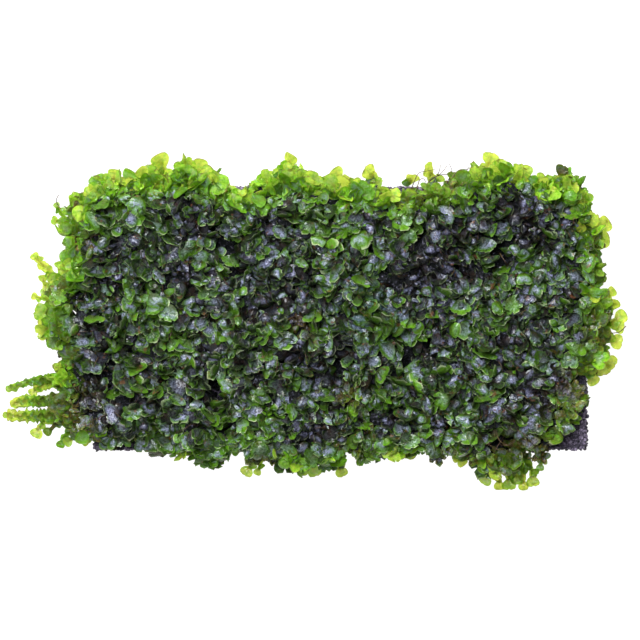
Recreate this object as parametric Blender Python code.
"""Round pellia, a lobed aquarium plant, grown over a slab of coarse black foam.

The slab lies flat on its underside. Tufts of thallus cover its top and stand out past its sides, each tuft
a cushion of rounded lobes, and single sprigs grow out of the foam's sides below them.
Metres, +Z up, +Y towards the back edge, origin at the middle of the slab's underside.
"""

import math
import random

import bmesh
import bpy
from mathutils import Vector, geometry

MM = 0.001

# Foam slab
MAT_LENGTH = 150 * MM
MAT_DEPTH = 80 * MM
MAT_THICK = 7 * MM
MAT_ROUGHNESS = 0.35 * MM
MAT_EDGE_STEP = 7 * MM

# Touching pieces stay this far apart.
GAP = 0.3 * MM

# Growth: how far it reaches past each side of the slab, in millimetres, at even steps along that side.
# Back and front run from left to right, left and right run from back to front. Below 0, bare foam shows.
REACH_BACK = (2, 6.3, 7.2, 1.2, 6.3, 3, 0.4, 1.0, 7.2, 4.7, 0.5)
REACH_FRONT = (-1.5, 0.2, 3, 4.4, 5.6, 3, 3.2, 2.8, 7, 3.5, -5)
REACH_LEFT = (4.5, 9, 9, 11.5, 14, 12, 12.5, 12.5, 2)
REACH_RIGHT = (0.7, 3, 4.6, 4.3, 5, 5.5, 3, -1.5, -4.5)

# Tufts: cushions of lobes that share the growth between them
TUFT_COLUMNS = 7
TUFT_ROWS = ("front", "mid_front", "mid_back", "back")
TUFT_FIELD_LEFT = -87 * MM
TUFT_FIELD_RIGHT = 80 * MM
TUFT_FIELD_FRONT = -44 * MM
TUFT_FIELD_BACK = 45 * MM
TUFT_SCATTER = 2 * MM
TUFT_HEIGHT = 14.2 * MM
TUFT_SWELL = 1.2 * MM
TUFT_SWELL_X = 17 * MM
TUFT_SWELL_Y = 13 * MM
# Towards the growth's edge the top falls by this share, over this distance.
EDGE_FALL = 0.42
EDGE_BAND = 10 * MM
# Height of the sides, as a share of the growth's height, between tufts and along the outer edge.
SEAM_SHARE = 0.5
EDGE_SHARE = 0.3
FOOT_INSET = 0.8 * MM

# Lobes on the tufts
LOBE_PITCH = 6.8 * MM
LOBE_SCATTER = 0.17 * LOBE_PITCH
LOBE_LEAST = 0.8 * LOBE_PITCH
LOBE_RADIUS = 2.1 * MM
# A lobe takes at most this share of the room that its nearest neighbour leaves.
LOBE_FILL = 0.75
LOBE_CORNERS = 5
LOBE_SLOPE = 0.55
LOBE_STEP = 1.0 * MM
VALLEY_DEPTH = 2.8 * MM
EDGE_ROW_INSET = 0.42 * LOBE_PITCH
OUTLINE_STEP = 2.5 * MM
NET_TOLERANCE = 1e-7

# Sprigs: side, place along that side, how far the tip stands out from the foam, how far it drifts along
# the side on the way, full width near the tip, and the height of the tip, all in millimetres.
SPRIGS = (
    ("left", 31, 12.5, 4.5, 4.4, 6),
    ("left", 12, 19, 8, 4.2, 6),
    ("left", 5, 18.5, 2.2, 3.6, 5),
    ("left", -17, 27.5, -4.2, 4.4, 4),
    ("left", -24, 26, -1, 3.6, 5),
    ("left", -28.8, 28, -0.2, 4.2, 3.5),
    ("left", -34, 18, 0.8, 3.4, 3),
    ("left", -38, 11, 0.8, 2.6, 3),
    ("back", -70, 4.6, -2, 4.6, 6),
    ("back", -53, 11.5, -2.5, 5, 6),
    ("back", -44, 9, 1, 5, 6),
    ("back", -17, 9.5, 1, 5.2, 6),
    ("back", 0, 5.5, -1, 2.4, 5),
    ("back", 10, 5.6, -1, 5, 5),
    ("back", 21, 4, -1.5, 4.6, 5),
    ("back", 29, 6.4, -2.2, 2, 5),
    ("back", 44, 9.5, 0.5, 5.2, 6),
    ("right", 27, 7.6, 0.5, 5.8, 6),
    ("right", 6, 8, 1, 4.6, 5),
    ("right", -3.5, 11.5, -1.5, 5, 5),
    ("right", -11, 9.4, -2, 5, 4),
    ("right", -18, 7.2, -1.5, 4.6, 4),
    ("front", -25, 7.8, 0.8, 4.6, 4),
    ("front", -10.5, 7.8, 0, 5.8, 4),
    ("front", -2, 7.5, 1, 2.8, 3),
    ("front", 36, 4.4, 0.6, 4.6, 4),
    ("front", 46.5, 10.4, 0.5, 5, 4),
    ("front", 54.5, 10.8, 0.2, 5, 3.5),
    ("front", 61.5, 7.2, -1, 4, 4),
)
SPRIG_ROOT_HEIGHT = 3.4 * MM
SPRIG_HALF_THICK = 1.1 * MM
SPRIG_RING_STEP = 1.8 * MM
SPRIG_LOBE_PITCH = 5.2 * MM
SPRIG_LOBE_DEPTH = 0.25
SPRIG_ROOT_WIDER = 1.25
SPRIG_ROOT_CLEAR = MAT_ROUGHNESS + GAP
SPRIG_FLOOR_CLEAR = 0.4 * MM
# How sharply a sprig bends aside and rises: powers of the way along it.
SPRIG_DRIFT_POWER = 1.6
SPRIG_RISE_POWER = 3
# The thin rim stands out past the thicker middle, and a little above the middle's centre.
SPRIG_CREST_SHARE = 0.45
SPRIG_RIM_LIFT = 0.3
SPRIG_TIP_ROUNDING = 0.92

FOAM_COLOUR = (0.018, 0.016, 0.021, 1)
TUFT_COLOUR = (0.075, 0.15, 0.03, 1)
SPRIG_COLOUR = (0.30, 0.48, 0.04, 1)


def clear_scene():
    for old in list(bpy.data.objects):
        bpy.data.objects.remove(old, do_unlink=True)


def material(name, colour, roughness):
    made = bpy.data.materials.new(name)
    made.use_nodes = True
    shader = made.node_tree.nodes["Principled BSDF"]
    shader.inputs["Base Color"].default_value = colour
    shader.inputs["Roughness"].default_value = roughness
    shader.inputs["Metallic"].default_value = 0.0
    return made


def add_object(name, vertices, faces, finish):
    """A named object from points and faces, with its normals facing out."""
    mesh = bpy.data.meshes.new(name)
    mesh.from_pydata([tuple(point) for point in vertices], [], faces)
    shape = bmesh.new()
    shape.from_mesh(mesh)
    bmesh.ops.recalc_face_normals(shape, faces=shape.faces)
    shape.to_mesh(mesh)
    shape.free()
    mesh.shade_smooth()
    mesh.set_sharp_from_angle(angle=math.radians(50))
    mesh.materials.append(finish)
    made = bpy.data.objects.new(name, mesh)
    bpy.context.scene.collection.objects.link(made)
    return made


def extruded(outline, low, high):
    """Points and faces of a closed prism over a plane outline."""
    count = len(outline)
    points = [Vector((p.x, p.y, low)) for p in outline] + [Vector((p.x, p.y, high)) for p in outline]
    faces = [tuple(range(count))[::-1], tuple(range(count, 2 * count))]
    for i in range(count):
        j = (i + 1) % count
        faces.append((i, j, count + j, count + i))
    return points, faces


def resampled(outline, step):
    """The outline's own corners, with even points no further apart than step between them."""
    points = []
    for i, start in enumerate(outline):
        end = outline[(i + 1) % len(outline)]
        pieces = max(1, round((end - start).length / step))
        points += [start.lerp(end, k / pieces) for k in range(pieces)]
    return points


def smooth_loop(points, step):
    """Even points along a closed Catmull-Rom curve through the given ones."""
    count = len(points)
    curve = []
    for i in range(count):
        before, start, end, after = (points[(i + k) % count] for k in (-1, 0, 1, 2))
        pieces = max(1, round((end - start).length / step))
        for k in range(pieces):
            t = k / pieces
            curve.append(
                0.5
                * (
                    2 * start
                    + (end - before) * t
                    + (2 * before - 5 * start + 4 * end - after) * t**2
                    + (3 * start - before - 3 * end + after) * t**3
                )
            )
    return curve


def growth_outline():
    """The edge of the growth seen from above, anticlockwise, from the reach past each side."""
    half_x, half_y = MAT_LENGTH / 2, MAT_DEPTH / 2

    def stations(reach, half):
        gaps = len(reach) - 1
        return [(-half + 2 * half * k / gaps, value * MM) for k, value in enumerate(reach)]

    front = stations(REACH_FRONT, half_x)
    back = stations(REACH_BACK, half_x)
    left = [(-along, out) for along, out in stations(REACH_LEFT, half_y)]
    right = [(-along, out) for along, out in stations(REACH_RIGHT, half_y)]
    points = [Vector((x, -half_y - out)) for x, out in front[1:-1]]
    points.append(Vector((half_x + right[-1][1], -half_y - front[-1][1])))
    points += [Vector((half_x + out, y)) for y, out in reversed(right[1:-1])]
    points.append(Vector((half_x + right[0][1], half_y + back[-1][1])))
    points += [Vector((x, half_y + out)) for x, out in reversed(back[1:-1])]
    points.append(Vector((-half_x - left[0][1], half_y + back[0][1])))
    points += [Vector((-half_x - out, y)) for y, out in left[1:-1]]
    points.append(Vector((-half_x - left[-1][1], -half_y - front[0][1])))
    return smooth_loop(points, OUTLINE_STEP)


def inside(point, outline):
    crossings = 0
    for i, a in enumerate(outline):
        b = outline[(i + 1) % len(outline)]
        if (a.y > point.y) != (b.y > point.y):
            crossings += point.x < a.x + (point.y - a.y) * (b.x - a.x) / (b.y - a.y)
    return crossings % 2 == 1


def distance_to(point, outline):
    """Shortest distance from a point to an outline's edges."""
    best = math.inf
    for i, a in enumerate(outline):
        b = outline[(i + 1) % len(outline)]
        nearest, share = geometry.intersect_point_line(point, a, b)
        nearest = a.lerp(b, min(1, max(0, share)))
        best = min(best, (point - nearest.to_2d()).length)
    return best


def scattered(dice, most):
    return Vector((dice.uniform(-most, most), dice.uniform(-most, most)))


def lobe_places(outline):
    """Places for lobes: a row just inside the outline and a staggered field within it. Also the places
    that mirror the row across the outline, which only mark where the growth ends."""
    dice = random.Random(23)
    row, mirrored = [], []
    for start, end in zip(outline, outline[1:] + outline[:1]):
        inwards = Vector((start.y - end.y, end.x - start.x)).normalized() * EDGE_ROW_INSET
        middle = (start + end) / 2
        place, mirror = middle + inwards, middle - inwards
        if all((place - other).length > LOBE_LEAST for other in row) and inside(place, outline):
            row.append(place)
        if not inside(mirror, outline):
            mirrored.append(mirror)
    low = Vector((min(p.x for p in outline), min(p.y for p in outline)))
    high = Vector((max(p.x for p in outline), max(p.y for p in outline)))
    row_pitch = LOBE_PITCH * math.sqrt(3) / 2
    field = []
    for line in range(math.ceil((high.y - low.y) / row_pitch)):
        for column in range(math.ceil((high.x - low.x) / LOBE_PITCH)):
            place = low + Vector(((column + 0.5 * (line % 2)) * LOBE_PITCH, line * row_pitch))
            place += scattered(dice, LOBE_SCATTER)
            if inside(place, outline) and all((place - other).length > LOBE_LEAST for other in row):
                field.append(place)
    return row + field, mirrored


def tuft_centres():
    """One point for each tuft, row by row from the front left, every second row shifted a little."""
    dice = random.Random(11)
    pitch = (TUFT_FIELD_RIGHT - TUFT_FIELD_LEFT) / TUFT_COLUMNS
    depth = (TUFT_FIELD_BACK - TUFT_FIELD_FRONT) / len(TUFT_ROWS)
    found = []
    for row in range(len(TUFT_ROWS)):
        shift = pitch * (0.4 if row % 2 else 0.6)
        for column in range(TUFT_COLUMNS):
            x = TUFT_FIELD_LEFT + shift + column * pitch
            y = TUFT_FIELD_FRONT + (row + 0.5) * depth
            found.append(Vector((x, y)) + scattered(dice, TUFT_SCATTER))
    return found


def crown_height(point, outline):
    """Height of the growth above the foam at a point, without its lobes."""
    swell = TUFT_SWELL * math.sin(point.x / TUFT_SWELL_X + 1.3) * math.cos(point.y / TUFT_SWELL_Y - 0.4)
    edge = min(1, distance_to(point, outline) / EDGE_BAND)
    return (TUFT_HEIGHT + swell) * (1 - EDGE_FALL * (1 - edge) ** 2)


class Growth:
    """Lobes all over the growth, the valleys between every three of them, and the tuft each belongs to."""

    def __init__(self):
        self.outline = growth_outline()
        places, mirrored = lobe_places(self.outline)
        net = geometry.delaunay_2d_cdt(places + mirrored, [], [], 0, NET_TOLERANCE, True)
        self.lobes, self.triangles, origins = net[0], net[2], net[3]
        self.valleys = [middle_of(self.lobes[i] for i in corners) for corners in self.triangles]
        centres = tuft_centres()
        self.owner = []
        for lobe, origin in zip(self.lobes, origins):
            nearest = min(range(len(centres)), key=lambda k: (centres[k] - lobe).length)
            self.owner.append(nearest if origin[0] < len(places) else None)
        self.around = self.valleys_around()

    def valleys_around(self):
        """For each lobe, the valleys that ring it, anticlockwise."""
        around = [[] for _ in self.lobes]
        for valley, corners in enumerate(self.triangles):
            for lobe in corners:
                around[lobe].append(valley)
        for lobe, ring in enumerate(around):
            ring.sort(key=lambda valley: bearing(self.lobes[lobe], self.valleys[valley]))
        return around

    def seam_of(self, tuft):
        """The valleys along a tuft's edge, in order, from each to the next."""
        follows = {}
        for lobe, owner in enumerate(self.owner):
            if owner != tuft:
                continue
            ring = self.around[lobe]
            for k, valley in enumerate(ring):
                after = ring[(k + 1) % len(ring)]
                across = (set(self.triangles[valley]) & set(self.triangles[after])) - {lobe}
                if self.owner[across.pop()] != tuft:
                    follows[valley] = after
        first = valley = min(follows)
        loop = [first]
        while follows[valley] != first:
            valley = follows[valley]
            loop.append(valley)
        return loop


def middle_of(points):
    points = list(points)
    return sum(points, Vector((0, 0))) / len(points)


def bearing(centre, point):
    away = point - centre
    return math.atan2(away.y, away.x)


def band(inner, outer, centre, plan):
    """Triangles between two rings about a centre. Both rings run anticlockwise."""
    first = bearing(centre, plan[inner[0]])
    full = 2 * math.pi

    def turn(index):
        return (bearing(centre, plan[index]) - first) % full

    outer = sorted(outer, key=turn)
    faces = []
    i = j = 0
    while i < len(inner) or j < len(outer):
        next_inner = turn(inner[i + 1]) if i + 1 < len(inner) else full
        next_outer = turn(outer[j]) if j < len(outer) else 2 * full
        near, far = inner[i % len(inner)], outer[(j - 1) % len(outer)]
        if i < len(inner) and next_inner <= next_outer:
            i += 1
            faces.append((near, far, inner[i % len(inner)]))
        else:
            faces.append((near, far, outer[j % len(outer)]))
            j += 1
    return faces


def tuft(name, growth, number, finish):
    """A closed cushion: raised, tilted lobes with valleys between them, an edge, and a flat foot."""
    dice = random.Random(100 + number)
    floor = MAT_THICK + GAP
    seam = growth.seam_of(number)
    vertices, plan, faces, place_of = [], [], [], {}

    def add(point, height):
        plan.append(point)
        vertices.append(Vector((point.x, point.y, floor + height)))
        return len(vertices) - 1

    def pulled_in(valley, by):
        own = (growth.lobes[i] for i in growth.triangles[valley] if growth.owner[i] == number)
        inwards = (middle_of(own) - growth.valleys[valley]).normalized()
        return growth.valleys[valley] + inwards * by

    for valley in seam:
        outside = any(growth.owner[i] is None for i in growth.triangles[valley])
        share = EDGE_SHARE if outside else SEAM_SHARE
        point = pulled_in(valley, GAP)
        place_of[valley] = add(point, share * crown_height(point, growth.outline))
    for lobe, owner in enumerate(growth.owner):
        if owner != number:
            continue
        centre = growth.lobes[lobe]
        for valley in growth.around[lobe]:
            if valley not in place_of:
                point = growth.valleys[valley]
                place_of[valley] = add(point, crown_height(point, growth.outline) - VALLEY_DEPTH)
        top = crown_height(centre, growth.outline) + dice.uniform(-1, 1) * LOBE_STEP
        lean, turn = dice.uniform(0, 2 * math.pi), dice.uniform(0, 2 * math.pi)
        slope = dice.uniform(0.1, 1) * LOBE_SLOPE
        room = min((other - centre).length for other in growth.lobes if other != centre) / 2
        radius = min(LOBE_RADIUS * dice.uniform(0.85, 1.1), LOBE_FILL * room)
        ring = []
        for corner in range(LOBE_CORNERS):
            angle = turn + 2 * math.pi * corner / LOBE_CORNERS
            point = centre + radius * Vector((math.cos(angle), math.sin(angle)))
            ring.append(add(point, top + radius * slope * math.cos(angle - lean)))
        faces.append(tuple(ring))
        faces += band(ring, [place_of[valley] for valley in growth.around[lobe]], centre, plan)
    feet = [add(pulled_in(valley, GAP + FOOT_INSET), 0) for valley in seam]
    faces.append(tuple(reversed(feet)))
    for k, valley in enumerate(seam):
        after = (k + 1) % len(seam)
        faces.append((feet[k], feet[after], place_of[seam[after]], place_of[valley]))
    return add_object(name, vertices, faces, finish)


def foam_slab(finish):
    """The slab, with the slightly torn edge of cut foam."""
    dice = random.Random(5)
    x, y = MAT_LENGTH / 2, MAT_DEPTH / 2
    corners = [Vector((-x, -y)), Vector((x, -y)), Vector((x, y)), Vector((-x, y))]
    outline = []
    for point in resampled(corners, MAT_EDGE_STEP):
        torn = Vector((dice.uniform(-1, 1), dice.uniform(-1, 1))) * MAT_ROUGHNESS
        outline.append(point + torn)
    points, faces = extruded(outline, 0, MAT_THICK)
    return add_object("foam_slab", points, faces, finish)


def tufts(finish):
    growth = Growth()
    for number in range(len(TUFT_ROWS) * TUFT_COLUMNS):
        row, column = divmod(number, TUFT_COLUMNS)
        tuft(f"tuft_{TUFT_ROWS[row]}_{column + 1}", growth, number, finish)


def sprig(name, side, along, reach, drift, width, tip_height, finish):
    """A flat ribbon of thallus, scalloped on both edges by turns, that grows out of the foam's side."""
    half_x, half_y = MAT_LENGTH / 2, MAT_DEPTH / 2
    outwards, sideways, root = {
        "left": (Vector((-1, 0)), Vector((0, 1)), Vector((-half_x, along * MM))),
        "right": (Vector((1, 0)), Vector((0, 1)), Vector((half_x, along * MM))),
        "back": (Vector((0, 1)), Vector((1, 0)), Vector((along * MM, half_y))),
        "front": (Vector((0, -1)), Vector((1, 0)), Vector((along * MM, -half_y))),
    }[side]
    reach, drift, width, tip_height = reach * MM, drift * MM, width * MM, tip_height * MM
    start = SPRIG_ROOT_CLEAR
    rings = max(4, round((reach - start) / SPRIG_RING_STEP))
    vertices = []
    for ring in range(rings):
        t = ring / rings
        out = start + (reach - start) * t
        middle = root + outwards * out + sideways * drift * t**SPRIG_DRIFT_POWER
        veer = drift * SPRIG_DRIFT_POWER * t ** (SPRIG_DRIFT_POWER - 1)
        heading = (outwards * (reach - start) + sideways * veer).normalized()
        across = Vector((-heading.y, heading.x))
        height = SPRIG_ROOT_HEIGHT + (tip_height - SPRIG_ROOT_HEIGHT) * t**SPRIG_RISE_POWER
        phase = 2 * math.pi * out / SPRIG_LOBE_PITCH
        rounding = math.sqrt(1 - (SPRIG_TIP_ROUNDING * t) ** 4)
        half = width / 2 * rounding * (SPRIG_ROOT_WIDER + (1 - SPRIG_ROOT_WIDER) * t)
        left = half * (1 - SPRIG_LOBE_DEPTH + SPRIG_LOBE_DEPTH * math.cos(phase))
        right = half * (1 - SPRIG_LOBE_DEPTH - SPRIG_LOBE_DEPTH * math.cos(phase))
        thick = SPRIG_HALF_THICK * rounding
        low, high = max(height - thick, SPRIG_FLOOR_CLEAR), height + thick
        rim = height + SPRIG_RIM_LIFT * thick
        crest_left, crest_right = SPRIG_CREST_SHARE * left, -SPRIG_CREST_SHARE * right
        section = (
            (left, rim),
            (crest_left, high),
            (crest_right, high),
            (-right, rim),
            (crest_right, low),
            (crest_left, low),
        )
        for shift, z in section:
            place = middle + across * shift
            vertices.append(Vector((place.x, place.y, z)))
    tip = root + outwards * reach + sideways * drift
    vertices.append(Vector((tip.x, tip.y, tip_height)))
    sides = len(section)
    faces = [tuple(range(sides))[::-1]]
    for ring in range(rings - 1):
        for k in range(sides):
            a, b = ring * sides + k, ring * sides + (k + 1) % sides
            faces.append((a, b, b + sides, a + sides))
    last = (rings - 1) * sides
    for k in range(sides):
        faces.append((last + k, last + (k + 1) % sides, len(vertices) - 1))
    return add_object(name, vertices, faces, finish)


def main():
    clear_scene()
    foam = material("coarse_black_foam", FOAM_COLOUR, 0.9)
    thallus = material("thallus_green", TUFT_COLOUR, 0.4)
    young = material("thallus_yellow_green", SPRIG_COLOUR, 0.4)
    foam_slab(foam)
    tufts(thallus)
    counts = {}
    for side, along, reach, drift, width, tip_height in SPRIGS:
        counts[side] = counts.get(side, 0) + 1
        sprig(f"sprig_{side}_{counts[side]}", side, along, reach, drift, width, tip_height, young)


main()
